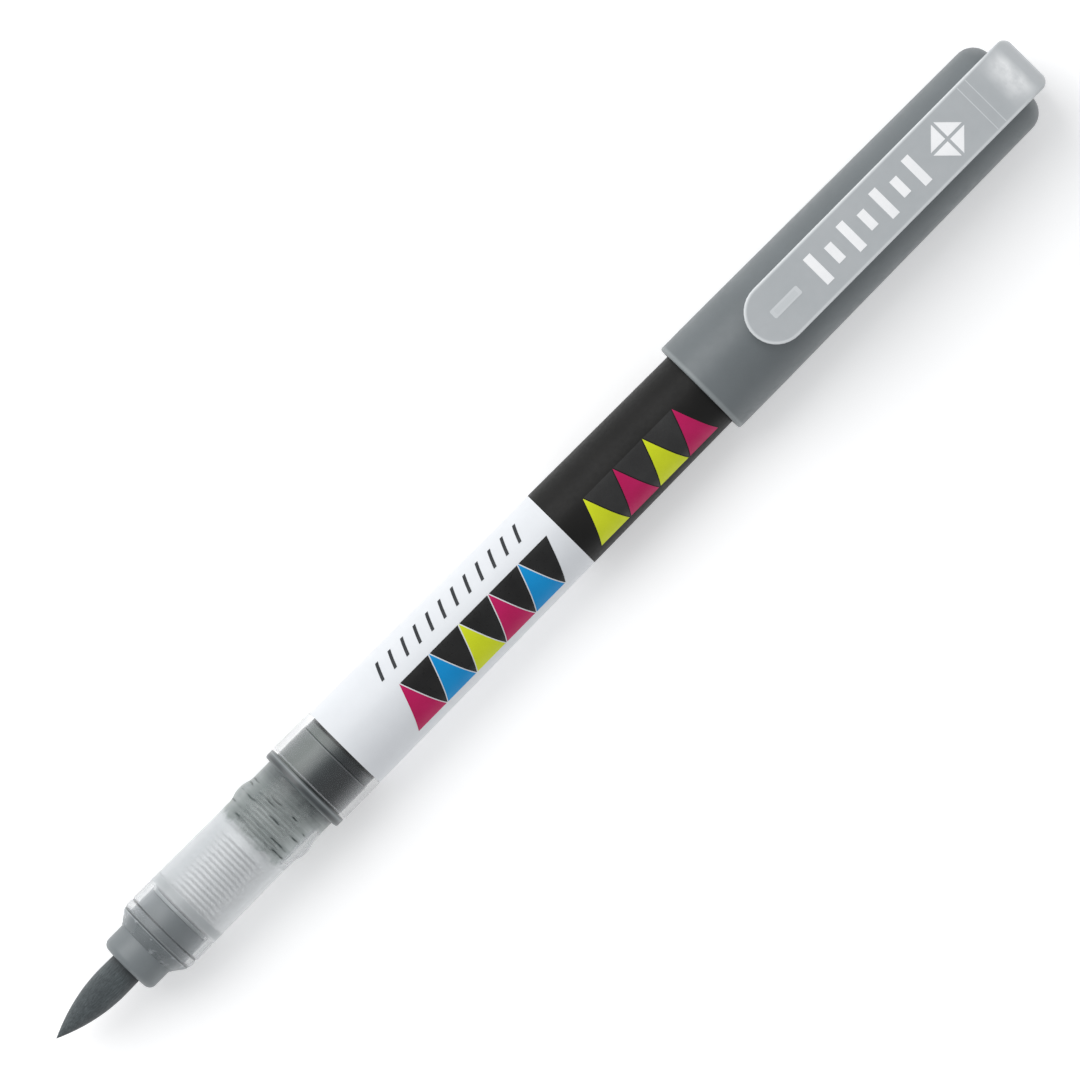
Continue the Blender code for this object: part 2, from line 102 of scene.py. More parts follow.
class Paint:
    """A Principled material whose textures read each piece's rest position in millimetres."""

    def __init__(self, name, **sockets):
        self.material = bpy.data.materials.new(name)
        self.material.use_nodes = True
        self.tree = self.material.node_tree
        self.shader = self.tree.nodes["Principled BSDF"]
        for socket, value in sockets.items():
            self.set(socket.replace("_", " ").title().replace("Ior", "IOR"), value)
        place = self.add("ShaderNodeAttribute")
        place.attribute_name = "rest_mm"
        self.place = place.outputs["Vector"]

    def add(self, kind):
        return self.tree.nodes.new(kind)

    def set(self, socket, value):
        """Sets a socket of the shader to a number or a colour, or links another socket to it."""
        target = self.shader.inputs[socket]
        if isinstance(value, bpy.types.NodeSocket):
            self.tree.links.new(value, target)
        elif isinstance(value, tuple) and len(value) == 3 and len(target.default_value) == 4:
            target.default_value = (*value, 1.0)
        else:
            target.default_value = value

    def feed(self, node, socket, value):
        if isinstance(value, bpy.types.NodeSocket):
            self.tree.links.new(value, node.inputs[socket])
        else:
            node.inputs[socket].default_value = value

    def stretch(self, scale):
        """The rest position with each axis scaled."""
        node = self.add("ShaderNodeVectorMath")
        node.operation = "MULTIPLY"
        self.tree.links.new(self.place, node.inputs[0])
        node.inputs[1].default_value = scale
        return node.outputs["Vector"]

    def noise(self, scale, detail=3.0, rough=0.55, place=None):
        node = self.add("ShaderNodeTexNoise")
        self.tree.links.new(place or self.place, node.inputs["Vector"])
        node.inputs["Scale"].default_value = scale
        node.inputs["Detail"].default_value = detail
        node.inputs["Roughness"].default_value = rough
        return node.outputs["Fac"]

    def axis(self, index):
        """One coordinate of the rest position: 0 is the station, 1 is +Y and 2 is up."""
        node = self.add("ShaderNodeSeparateXYZ")
        self.tree.links.new(self.place, node.inputs[0])
        return node.outputs[index]

    def math(self, operation, first, second=0.0):
        node = self.add("ShaderNodeMath")
        node.operation = operation
        self.feed(node, 0, first)
        self.feed(node, 1, second)
        return node.outputs[0]

    def span(self, value, low, high, to_low=0.0, to_high=1.0):
        """Value mapped from low..high to to_low..to_high, held at the ends."""
        node = self.add("ShaderNodeMapRange")
        node.clamp = True
        self.feed(node, "Value", value)
        node.inputs["From Min"].default_value = low
        node.inputs["From Max"].default_value = high
        node.inputs["To Min"].default_value = to_low
        node.inputs["To Max"].default_value = to_high
        return node.outputs["Result"]

    def mix(self, share, first, second):
        node = self.add("ShaderNodeMix")
        node.data_type = "RGBA"
        self.feed(node, 0, share)
        for slot, value in ((6, first), (7, second)):
            self.feed(node, slot, (*value, 1.0) if isinstance(value, tuple) else value)
        return node.outputs[2]

    def bump(self, height, depth, normal=None):
        """Relief of the given depth in millimetres."""
        node = self.add("ShaderNodeBump")
        node.inputs["Strength"].default_value = 1.0
        node.inputs["Distance"].default_value = depth * MM
        self.tree.links.new(height, node.inputs["Height"])
        if normal:
            self.tree.links.new(normal, node.inputs["Normal"])
        return node.outputs["Normal"]

    def facing(self, blend):
        node = self.add("ShaderNodeLayerWeight")
        node.inputs["Blend"].default_value = blend
        return node.outputs["Facing"]

    def band(self, value, centre, half):
        """1 at the centre, falling to 0 half a width away on each side."""
        away = self.math("ABSOLUTE", self.math("SUBTRACT", value, centre))
        return self.span(away, half, 0.3 * half)

    def radius(self):
        """Distance from the pen's axis, in millimetres."""
        across, up = self.axis(1), self.axis(2)
        squares = self.math("ADD", self.math("MULTIPLY", across, across), self.math("MULTIPLY", up, up))
        return self.math("SQRT", squares)

    def ramp(self, value, stops):
        """A colour ramp through (position, colour) stops."""
        node = self.add("ShaderNodeValToRGB")
        node.color_ramp.interpolation = "B_SPLINE"
        elements = node.color_ramp.elements
        while len(elements) < len(stops):
            elements.new(0.5)
        for element, (position, colour) in zip(elements, stops):
            element.position = position
            element.color = (*colour, 1.0)
        self.feed(node, "Fac", value)
        return node.outputs["Color"]

    def either(self, first, second):
        """The larger of two shares."""
        return self.math("MAXIMUM", first, second)

    def gate(self, share, *others):
        """Shares multiplied together."""
        for other in others:
            share = self.math("MULTIPLY", share, other)
        return share


def mottled(paint, dark, light, patch, speck, patch_share=0.8):
    """A colour that wanders in patches, with fine specks on top."""
    patches = paint.span(paint.noise(patch), 0.35, 0.65)
    specks = paint.span(paint.noise(speck, 2.0), 0.3, 0.7)
    share = paint.math("MULTIPLY", patches, patch_share)
    share = paint.math("ADD", share, paint.math("MULTIPLY", specks, 1.0 - patch_share))
    return paint.mix(share, dark, light)


def satin(paint, rough, grain):
    """Uneven gloss and the fine grain of a satin mould."""
    paint.set("Roughness", paint.span(paint.noise(0.9), 0.3, 0.7, rough - 0.05, rough + 0.06))
    flow = paint.noise(0.5, 2.0, place=paint.stretch((0.15, 1.0, 1.0)))
    relief = paint.bump(paint.noise(11.0, 3.0), grain)
    paint.set("Normal", paint.bump(flow, grain * 2.5, relief))


def moulded(name, dark, light, rough):
    """Moulded plastic in a patchy colour."""
    paint = Paint(name)
    paint.set("Base Color", mottled(paint, dark, light, 0.12, 5.0))
    satin(paint, rough, 0.004)
    return paint.material


def see_through(paint, face_on, edge, power, waver, *extra):
    """Opacity: low face on, higher where the wall is seen edgewise, plus any extra shares."""
    turn = paint.math("POWER", paint.facing(0.5), power)
    alpha = paint.span(turn, 0.0, 1.0, face_on, edge)
    alpha = paint.math("ADD", alpha, paint.span(paint.noise(0.8), 0.3, 0.7, -waver, waver))
    for share in extra:
        alpha = paint.math("ADD", alpha, share)
    paint.set("Alpha", paint.math("MINIMUM", paint.math("MAXIMUM", alpha, 0.0), 1.0))


def ink_with_painted_reflection(paint):
    """The ink against the clear wall: dark, with a painted reflection that is palest towards +Y and pale
    again at the -Y edge.
    """
    swirl = paint.noise(0.25, 2.0, 0.5, paint.stretch((0.3, 1.0, 1.0)))
    across = paint.math("ADD", paint.axis(1), paint.span(swirl, 0.3, 0.7, -0.12, 0.12))
    # painted reflection: the stops are palest towards +Y and pale again at the -Y edge
    stops = [
        (0.0, (0.12, 0.13, 0.137)),
        (0.08, (0.05, 0.056, 0.06)),
        (0.2, (0.012, 0.015, 0.017)),
        (0.36, (0.012, 0.016, 0.018)),
        (0.5, (0.022, 0.029, 0.031)),
        (0.62, (0.05, 0.062, 0.062)),
        (0.75, (0.14, 0.16, 0.152)),
        (0.88, (0.16, 0.18, 0.173)),
        (1.0, (0.085, 0.1, 0.1)),
    ]
    return paint.ramp(paint.span(across, -5.0, 5.0), stops)


def barrel_look():
    """Clear plastic that hardly shows face on, with a painted highlight across the front lip."""
    paint = Paint("barrel_look", coat_weight=0.6, coat_roughness=0.3)
    station = paint.axis(0)
    # painted highlight: a pale, slightly more opaque band across the front lip
    lip = paint.band(station, BARREL_FRONT + 0.1, 0.14)
    base = mottled(paint, (0.5, 0.525, 0.54), (0.58, 0.6, 0.615), 0.4, 3.0)
    base = paint.mix(lip, base, (0.8, 0.83, 0.85))
    paint.set("Base Color", base)
    paint.set("Roughness", paint.span(paint.noise(1.2), 0.3, 0.7, 0.24, 0.34))
    see_through(paint, 0.008, 0.36, 2.5, 0.004, paint.math("MULTIPLY", lip, 0.12))
    paint.set("Normal", paint.bump(paint.noise(1.5, 2.0), 0.004))
    return paint.material


INK_LINES = (34.25, 35.15, 36.9, 38.05, 38.7)


def grip_look():
    """Frosted clear plastic: a thick nose, then clear, then ink-stained towards the tank."""
    paint = Paint("grip_look", coat_weight=0.4, coat_roughness=0.32)
    station = paint.axis(0)
    ragged = paint.math("ADD", station, paint.span(paint.noise(0.7, 3.0), 0.3, 0.7, -0.5, 0.5))
    streaks = paint.span(paint.noise(1.0, 3.0, 0.6, paint.stretch((2.6, 0.12, 0.12))), 0.35, 0.65)
    patches = paint.noise(0.45, 1.0, 0.5, paint.stretch((3.0, 1.0, 1.0)))
    wavy = paint.math("ADD", station, paint.span(paint.noise(0.5, 2.0), 0.3, 0.7, -0.09, 0.09))
    # painted highlight patches, used on the nose
    nose_highlight_patches = paint.span(paint.noise(0.9, 4.0, 0.65, paint.stretch((1.0, 0.8, 0.8))), 0.56, 0.72)

    nose = paint.span(station, 17.4, 16.9)
    frosted = paint.gate(paint.span(station, 21.1, 21.6), paint.span(ragged, 34.0, 33.0))
    clean_edge = paint.gate(paint.span(paint.axis(1), -3.9, -4.4), paint.span(ragged, 39.8, 39.2))
    stained = paint.gate(paint.span(ragged, 32.7, 33.7), paint.math("SUBTRACT", 1.0, clean_edge))
    dark = paint.span(ragged, 38.8, 41.2)
    flange = paint.span(station, FLANGE_FRONT - 0.2, FLANGE_FRONT + 0.1)
    flooded = paint.span(station, FLANGE_REAR - 0.15, FLANGE_REAR)

    base = mottled(paint, (0.58, 0.61, 0.63), (0.64, 0.67, 0.69), 0.2, 3.0)
    lengthwise = paint.noise(0.8, 2.0, 0.5, paint.stretch((2.0, 0.25, 0.25)))
    haze = paint.mix(lengthwise, (0.79, 0.815, 0.83), (0.86, 0.88, 0.89))
    # painted shade: the haze is darker towards the +Y edge
    haze = paint.mix(paint.span(paint.axis(1), 0.5, 5.0, 0.0, 0.8), haze, (0.55, 0.58, 0.6))
    base = paint.mix(frosted, base, haze)
    thick = paint.gate(paint.span(station, 21.55, 21.7), paint.span(station, 22.8, 22.65))
    base = paint.mix(thick, base, (0.45, 0.475, 0.485))
    base = paint.mix(nose, base, (0.2, 0.225, 0.235))
    # painted highlights: pale patches on the nose
    base = paint.mix(paint.gate(nose_highlight_patches, nose), base, (0.62, 0.66, 0.68))
    stain = paint.mix(streaks, (0.4, 0.445, 0.435), (0.52, 0.565, 0.555))
    stain = paint.mix(paint.span(paint.axis(1), -0.5, 3.0, 0.0, 0.7), stain, (0.2, 0.23, 0.225))
    base = paint.mix(stained, base, stain)
    base = paint.mix(dark, base, paint.mix(streaks, (0.085, 0.1, 0.102), (0.13, 0.15, 0.153)))
    settled = paint.band(wavy, INK_LINES[0], 0.2)
    for line in INK_LINES[1:]:
        settled = paint.either(settled, paint.band(wavy, line, 0.2))
    settled = paint.gate(settled, stained, paint.span(patches, 0.46, 0.62))
    base = paint.mix(settled, base, (0.03, 0.045, 0.043))
    # ink seen behind the flange, carrying the ink's painted reflection
    base = paint.mix(flooded, base, ink_with_painted_reflection(paint))
    lines_dark = paint.either(paint.band(station, 17.0, 0.1), paint.band(station, 18.3, 0.16))
    lines_dark = paint.either(lines_dark, paint.band(station, 41.85, 0.36))
    # painted highlights: thin pale lines at 16.82, 42.32 and 47.12
    highlight_lines = paint.math("MULTIPLY", paint.band(station, 16.82, 0.09), 0.4)
    for line, share in ((42.32, 0.26), (47.12, 0.12)):
        faint = paint.math("MULTIPLY", paint.band(station, line, 0.13), share)
        highlight_lines = paint.either(highlight_lines, faint)
    base = paint.mix(lines_dark, base, (0.035, 0.042, 0.045))
    base = paint.mix(highlight_lines, base, (0.48, 0.51, 0.53))
    paint.set("Base Color", base)
    paint.set("Roughness", paint.span(paint.noise(1.2), 0.3, 0.7, 0.34, 0.44))
    turned_away = paint.span(paint.facing(0.5), 0.1, 0.55)
    see_through(
        paint,
        0.03,
        0.5,
        1.3,
        0.006,
        paint.math("MULTIPLY", nose, 0.4),
        paint.math("MULTIPLY", frosted, 0.31),
        paint.math("MULTIPLY", thick, 0.35),
        paint.math("MULTIPLY", stained, 0.3),
        paint.math("MULTIPLY", paint.gate(stained, turned_away), 0.2),
        paint.math("MULTIPLY", settled, 0.4),
        paint.math("MULTIPLY", dark, 0.2),
        paint.math("MULTIPLY", flange, 0.3),
        paint.math("MULTIPLY", flooded, 0.4),
        paint.math("MULTIPLY", paint.either(lines_dark, highlight_lines), 0.4),
    )
    paint.set("Normal", paint.bump(paint.noise(3.5, 2.0), 0.002))
    return paint.material


def clip_look():
    """Frosted translucent plastic, with painted highlights along the rims and painted light past the cap's
    end and at the bend.
    """
    paint = Paint("clip_look", coat_weight=0.3, coat_roughness=0.25)
    station = paint.axis(0)
    base = mottled(paint, (0.472, 0.5, 0.516), (0.504, 0.528, 0.543), 0.1, 1.2)
    # painted light: paler past the cap's end, where light comes through from the floor
    painted_light_past_cap = paint.span(station, 158.0, 161.6)
    base = paint.mix(painted_light_past_cap, base, (0.56, 0.585, 0.6))
    near_middle = paint.span(paint.math("ABSOLUTE", paint.axis(1)), 3.7, 1.6)
    uneven = paint.span(paint.noise(0.5, 3.0, 0.6, paint.stretch((1.4, 1.0, 1.0))), 0.3, 0.6, 0.35, 1.0)
    behind, ahead = paint.span(station, 158.8, 161.3), paint.span(station, 162.7, 161.7)
    # painted glow: near-white at the bend, strongest in the middle
    painted_bend_glow = paint.gate(behind, ahead, near_middle, uneven)
    base = paint.mix(painted_bend_glow, base, (0.92, 0.935, 0.94))
    # painted highlight along the rims, read from the rim attribute
    rim = paint.add("ShaderNodeAttribute")
    rim.attribute_name = "rim"
    base = paint.mix(rim.outputs["Fac"], base, (0.8, 0.83, 0.84))
    paint.set("Base Color", base)
    paint.set("Roughness", paint.span(paint.noise(0.8), 0.3, 0.7, 0.34, 0.44))
    see_through(paint, 0.86, 0.98, 2.5, 0.01)
    paint.set("Normal", paint.bump(paint.noise(6.0, 2.0), 0.003))
    return paint.material


def cap_look():
    """Satin grey with a painted highlight along the rolled mouth."""
    paint = Paint("cap_look", specular_ior_level=0.4)
    base = mottled(paint, (0.137, 0.154, 0.161), (0.155, 0.174, 0.182), 0.12, 5.0)
    # painted highlight: a paler band along the rolled mouth
    lip = paint.math("MULTIPLY", paint.band(paint.axis(0), CAP_MOUTH + 0.32, 0.4), 0.7)
    paint.set("Base Color", paint.mix(lip, base, (0.27, 0.295, 0.3)))
    satin(paint, 0.42, 0.004)
    return paint.material


def printed(name, dark, light, rough=0.34):
    """Printing ink on satin film: a fine dot grain and slightly uneven gloss."""
    paint = Paint(name, specular_ior_level=0.18, coat_weight=0.03, coat_roughness=0.25)
    paint.set("Base Color", mottled(paint, dark, light, 0.25, 9.0, 0.6))
    paint.set("Roughness", paint.span(paint.noise(2.0), 0.3, 0.7, rough - 0.05, rough + 0.07))
    paint.set("Normal", paint.bump(paint.noise(1.6, 2.0), 0.004))
    return paint.material


def fibre(name):
    """Ink-soaked nib fibre: fine strands along the nib with paler dry specks between them, and painted shade
    next to the collar.
    """
    paint = Paint(name, sheen_weight=0.15, sheen_roughness=0.6)
    strands = paint.noise(7.0, 4.0, 0.65, paint.stretch((0.16, 1.0, 1.0)))
    felt = paint.noise(5.0, 4.0, 0.7)
    base = paint.mix(paint.span(strands, 0.38, 0.68), (0.036, 0.046, 0.05), (0.1, 0.122, 0.128))
    specks = paint.span(paint.noise(9.0, 2.0), 0.6, 0.75, 0.0, 0.55)
    wet = paint.span(paint.noise(0.25), 0.4, 0.62, 0.0, 0.5)
    base = paint.mix(specks, base, (0.19, 0.22, 0.225))
    base = paint.mix(wet, base, (0.03, 0.038, 0.042))
    # painted shade: the fibre darkens next to the collar
    root = paint.span(paint.axis(0), 10.6, 11.9, 0.0, 0.75)
    paint.set("Base Color", paint.mix(root, base, (0.014, 0.017, 0.019)))
    paint.set("Roughness", paint.span(felt, 0.3, 0.7, 0.6, 0.88))
    paint.set("Normal", paint.bump(strands, 0.05, paint.bump(felt, 0.03)))
    return paint.material


def comb_plastic(name):
    """Pale fins on a darker core, with ink lying between the fins towards the tank."""
    paint = Paint(name, subsurface_weight=0.8, subsurface_radius=(1.0, 1.0, 1.0), subsurface_scale=0.0015)
    ragged = paint.span(paint.noise(0.7, 3.0, 0.6), 0.25, 0.75, -1.2, 1.2)
    station = paint.math("ADD", paint.axis(0), ragged)
    soaked = paint.span(station, 32.2, 33.6)
    finned = paint.span(paint.axis(0), COMB_START, COMB_START + 0.2)
    inside = paint.gate(paint.span(paint.radius(), 4.15, 3.3), finned)
    streaks = paint.noise(1.0, 3.0, 0.6, paint.stretch((2.2, 0.15, 0.15)))
    fins = paint.mix(paint.span(paint.noise(1.5), 0.3, 0.7), (0.86, 0.885, 0.895), (0.93, 0.945, 0.95))
    hollows = paint.mix(paint.span(streaks, 0.35, 0.6), (0.4, 0.42, 0.43), (0.62, 0.645, 0.655))
    clean = paint.mix(inside, fins, hollows)
    ink = paint.mix(paint.span(streaks, 0.36, 0.6), (0.38, 0.425, 0.42), (0.62, 0.67, 0.66))
    ink = paint.mix(inside, ink, (0.3, 0.34, 0.333))
    base = paint.mix(soaked, clean, ink)
    paint.set("Base Color", paint.mix(paint.span(station, 37.6, 39.2), base, (0.09, 0.108, 0.108)))
    paint.set("Roughness", paint.span(paint.noise(2.0), 0.3, 0.7, 0.22, 0.4))
    paint.set("Normal", paint.bump(paint.noise(4.0), 0.008))
    return paint.material


def ink_liquid(name):
    """Grey pigment ink behind the clear wall, with a painted reflection and a painted shadow line where it
    meets the label.
    """
    paint = Paint(name, coat_weight=0.2, coat_roughness=0.35)
    # painted shadow: a near-black line just in front of the label's edge
    edge = paint.band(paint.axis(0), LABEL_FRONT - 0.22, 0.3)
    paint.set("Base Color", paint.mix(edge, ink_with_painted_reflection(paint), (0.004, 0.005, 0.005)))
    paint.set("Roughness", paint.span(paint.noise(1.0), 0.3, 0.7, 0.34, 0.44))
    paint.set("Normal", paint.bump(paint.noise(0.35, 2.0), 0.004))
    return paint.material


def steel(name):
    paint = Paint(name, metallic=1.0)
    shade = paint.span(paint.noise(2.0), 0.3, 0.7)
    paint.set("Base Color", paint.mix(shade, (0.5, 0.51, 0.53), (0.68, 0.69, 0.7)))
    paint.set("Roughness", paint.span(paint.noise(6.0), 0.3, 0.7, 0.1, 0.22))
    paint.set("Normal", paint.bump(paint.noise(9.0), 0.002))
    return paint.material


def paper(name):
    """The pale ground that the pen lies on."""
    material = bpy.data.materials.new(name)
    material.use_nodes = True
    shader = material.node_tree.nodes["Principled BSDF"]
    shader.inputs["Base Color"].default_value = (0.96, 0.96, 0.96, 1.0)
    shader.inputs["Roughness"].default_value = 0.9
    shader.inputs["Emission Color"].default_value = (1.0, 1.0, 1.0, 1.0)
    shader.inputs["Emission Strength"].default_value = 0.26
    return material


# ---------------------------------------------------------------- mesh helpers


def filleted(profile, closed):
    """The profile with its corners rounded. A point is (station, radius) or has its own fillet."""
    points = [(p[0], p[1], p[2] if len(p) > 2 else EDGE) for p in profile]
    result = []
    last = len(points) - 1
    for i, (x, y, fillet) in enumerate(points):
        ends = not closed and i in (0, last)
        if ends or fillet <= 0:
            result.append((x, y))
            continue
        before = Vector(points[i - 1][:2])
        after = Vector(points[(i + 1) % len(points)][:2])
        here = Vector((x, y))
        to_before, to_after = before - here, after - here
        if min(to_before.length, to_after.length) < 1e-6:
            continue
        reach = min(fillet, 0.45 * to_before.length, 0.45 * to_after.length)
        start = here + to_before.normalized() * reach
        end = here + to_after.normalized() * reach
        for step in range(5):
            t = step / 4
            result.append(tuple(start * (1 - t) ** 2 + here * 2 * t * (1 - t) + end * t**2))
    return result


def finish_mesh(name, work, material, sharp=40.0):
    """Turns a bmesh into a smooth-shaded object that carries its rest position."""
    bmesh.ops.remove_doubles(work, verts=work.verts, dist=1e-7)
    bmesh.ops.recalc_face_normals(work, faces=work.faces)
    mesh = bpy.data.meshes.new(name)
    work.to_mesh(mesh)
    work.free()
    mesh.shade_smooth()
    mesh.set_sharp_from_angle(angle=math.radians(sharp))
    rest = mesh.attributes.new("rest_mm", "FLOAT_VECTOR", "POINT")
    origin = point(0.0, 0.0, 0.0)
    for item, vertex in zip(rest.data, mesh.vertices):
        item.vector = (vertex.co - origin) / MM
    for entry in material if isinstance(material, list) else [material]:
        mesh.materials.append(entry)
    obj = bpy.data.objects.new(name, mesh)
    bpy.context.scene.collection.objects.link(obj)
    return obj


def turned(name, outer, inner, material, segments=ROUND):
    """A turned solid. Both profiles run from front to rear; with no inner one, the outer one
    starts and ends on the axis."""
    loop = filleted(list(outer) + list(reversed(inner)), closed=bool(inner))
    work = bmesh.new()
    rings = []
    for station, radius in loop:
        if radius < 1e-6:
            rings.append([work.verts.new(point(station, 0.0, 0.0))])
            continue
        ring = []
        for step in range(segments):
            angle = 2 * math.pi * step / segments
            ring.append(work.verts.new(point(station, radius * math.sin(angle), radius * math.cos(angle))))
        rings.append(ring)
    pairs = list(zip(rings, rings[1:]))
    if inner:
        pairs.append((rings[-1], rings[0]))
    for one, two in pairs:
        for step in range(segments):
            following = (step + 1) % segments
            corners = [one[step % len(one)], one[following % len(one)]]
            corners += [two[following % len(two)], two[step % len(two)]]
            corners = list(dict.fromkeys(corners))
            if len(corners) > 2:
                work.faces.new(corners)
    return finish_mesh(name, work, material)


def show(piece, body, slot, *nodes):
    """The piece rides on a body and stands for CAD nodes, which it hides. The slot is not used."""
    if body:
        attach(piece, body)
    if nodes:
        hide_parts(*nodes)
    return piece


# ---------------------------------------------------------------- nib, collar and grip

COLLAR_FACE = front("nib_collar")
COLLAR_RADIUS = 3.93
COLLAR_SHOULDER = 17.0
FLANGE_FRONT = 41.4
FLANGE_REAR = 42.6
NIB_RADIUS = widest("brush_nib_tip")
NIB_WIDEST = 9.5
NIB_BASE = 2.14
COMB_START = 22.05
COMB_GAP = 0.3
COMB_ROWS = ((22.8, 0.66, 14), (32.85, 0.58, 13))
COMB_END = 40.7


def make_nib():
    """One piece of fibre: a pointed brush tip that bends in front of the collar, and its stem."""
    profile = [(0.0, 0.0)]
    steps = 26
    for step in range(1, steps + 1):
        share = step / steps
        radius = NIB_RADIUS * (1 - (1 - share) ** 2)
        profile.append((NIB_WIDEST * share, radius, 0.0))
    stem_end = rear("brush_nib_stem")
    for step in range(1, 9):
        share = step / 8
        station = NIB_WIDEST + (COLLAR_FACE - NIB_WIDEST + 1.0) * share
        profile.append((station, NIB_RADIUS + (NIB_BASE - NIB_RADIUS) * share, 0.0))
    profile += [(stem_end, NIB_BASE), (stem_end, 0.0)]
    nib = turned("brush_nib", profile, [], fibre("nib_fibre_look"))
    show(nib, None, "nib_fibre", "brush_nib_tip", "brush_nib_stem")
    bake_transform(nib)


def make_collar():
    """The grey nib holder: a round nose, a flange inside the grip and a dark seal behind it."""
    bore, corner = 2.27, 0.95
    bend = COLLAR_FACE + corner
    outer = [(COLLAR_FACE, bore, 0.08)]
    for step in range(9):
        angle = math.radians(180 - 90 * step / 8)
        rise = COLLAR_RADIUS - corner + corner * math.sin(angle)
        outer.append((bend + corner * math.cos(angle), rise, 0.0))
    flange, end = widest("nib_collar"), rear("nib_collar")
    outer += [(COLLAR_SHOULDER, COLLAR_RADIUS, 0.2), (COLLAR_SHOULDER, flange, 0.3)]
    edge, seal_start, seal_end = end - 0.35, end + 0.12, end + 0.42
    outer += [(edge, flange, 0.2), (edge, 4.1), (seal_start, 4.1)]
    outer += [(seal_start, 4.25, 0.1), (seal_end, 4.25, 0.1)]
    inner = [(seal_end, bore)]
    paint = Paint("collar_look")
    base = mottled(paint, (0.15, 0.168, 0.176), (0.178, 0.198, 0.206), 0.12, 5.0)
    # painted light: paler from the flange's rear edge on, standing in for light seen through the gap there
    base = paint.mix(paint.span(paint.axis(0), edge - 0.1, edge + 0.1), base, (0.4, 0.43, 0.44))
    base = paint.mix(paint.span(paint.axis(0), seal_start - 0.05, seal_start), base, (0.03, 0.034, 0.037))
    paint.set("Base Color", base)
    satin(paint, 0.41, 0.004)
    show(turned("collar", outer, inner, paint.material), "pen", "collar_plastic", "nib_collar")


def make_grip():
    """The clear grip shell: nose cone, ring groove, snap ring, stop flange and spigot."""
    nose, spigot_end = front("grip_section"), rear("grip_section")
    bore = 4.5
    outer = [(nose, 4.06, 0.1), (15.4, 4.14, 0.25), (16.75, 5.14, 0.3), (16.95, 5.18, 0.05)]
    outer += [(17.02, 5.14), (17.12, 5.22), (17.45, 5.33, 0.2), (18.12, 5.33, 0.06)]
    outer += [(18.2, 5.18), (18.42, 5.18), (18.5, 5.33, 0.06)]
    outer += [(20.9, 5.31, 0.06), (21.0, 5.24), (21.2, 5.24), (21.3, 5.31, 0.06)]
    outer += [(34.0, 5.2, 0.4), (35.0, 5.2, 0.7), (36.0, 5.56, 0.6), (37.2, 5.56, 0.6)]
    flange, spigot = widest("grip_section"), 5.1
    outer += [(38.3, 5.2, 0.7), (FLANGE_FRONT, 5.2, 0.12), (FLANGE_FRONT, flange, 0.5)]
    outer += [(FLANGE_REAR, flange, 0.08), (FLANGE_REAR, spigot, 0.1), (spigot_end, spigot, 0.12)]
    nose_bore = COLLAR_RADIUS + 0.04
    inner = [(nose, nose_bore), (COLLAR_SHOULDER - 0.1, nose_bore), (COLLAR_SHOULDER - 0.1, bore)]
    inner += [(spigot_end, bore, 0.1)]
    show(turned("grip_shell", outer, inner, grip_look()), "pen", "clear_plastic", "grip_section")


def make_comb():
    """The ink buffer with its two rows of fins, a baffle at its rear and the wick through it."""
    core, neck, fin = 2.3, 2.05, 4.3
    bore, baffle = 1.3, 41.6
    start, end = front("comb_feed"), rear("comb_feed")
    outer = [(start, neck), (COMB_START, neck), (COMB_START, fin, 0.12)]
    for first, pitch, count in COMB_ROWS:
        for index in range(count):
            before = first + index * pitch
            after = before + COMB_GAP
            outer += [(before, fin, 0.07), (before, core, 0.04), (after, core, 0.04), (after, fin, 0.07)]
    outer += [(COMB_END, fin, 0.07), (COMB_END, core), (baffle, core), (baffle, fin), (end, fin)]
    inner = [(start, bore), (end, bore)]
    look = comb_plastic("comb_look")
    show(turned("comb", outer, inner, look, 72), "pen", "comb_plastic", "comb_feed")
    wick_radius = widest("feed_wick")
    wick_start, wick_end = front("feed_wick"), rear("feed_wick")
    rod = [(wick_start, 0.0), (wick_start, wick_radius), (wick_end, wick_radius), (wick_end, 0.0)]
    show(turned("wick", rod, [], fibre("wick_look"), 40), "pen", "wick_fibre", "feed_wick")


# ---------------------------------------------------------------- barrel, ink and label

BARREL_FRONT = front("barrel")
BARREL_REAR = rear("barrel")
BARREL_RADIUS = widest("barrel")
BARREL_DRAFT = 0.0076
BARREL_WALL = 0.9
LABEL_FRONT = front("barrel_label")
LABEL_REAR = rear("barrel_label")
LABEL_SUNK = 0.05
BAND_BREAK = 85.48


def barrel_radius(station):
    return BARREL_RADIUS - BARREL_DRAFT * (station - BARREL_FRONT)


def label_radius(station):
    """Radius of the label's outer face, a little below the barrel's own surface."""
    return barrel_radius(station) - LABEL_SUNK


def make_barrel():
    """The clear tank: a rounded lip at the front, a long seat for the label and a plain tail."""
    seat = 0.19
    front_seat, rear_seat = LABEL_FRONT - 0.08, LABEL_REAR + 0.08
    outer = [(BARREL_FRONT, BARREL_RADIUS, 0.18)]
    outer += [(front_seat, barrel_radius(front_seat), 0.06), (front_seat, barrel_radius(front_seat) - seat)]
    outer += [(rear_seat, barrel_radius(rear_seat) - seat), (rear_seat, barrel_radius(rear_seat), 0.06)]
    outer += [(BARREL_REAR, barrel_radius(BARREL_REAR), 0.1)]
    socket_end, socket = 47.5, 5.15
    inner = [(BARREL_FRONT, socket, 0.1), (socket_end, socket)]
    inner += [(socket_end, barrel_radius(socket_end) - BARREL_WALL)]
    inner += [(BARREL_REAR, barrel_radius(BARREL_REAR) - BARREL_WALL, 0.08)]
    show(turned("clear_barrel", outer, inner, barrel_look()), "pen", "clear_plastic", "barrel")


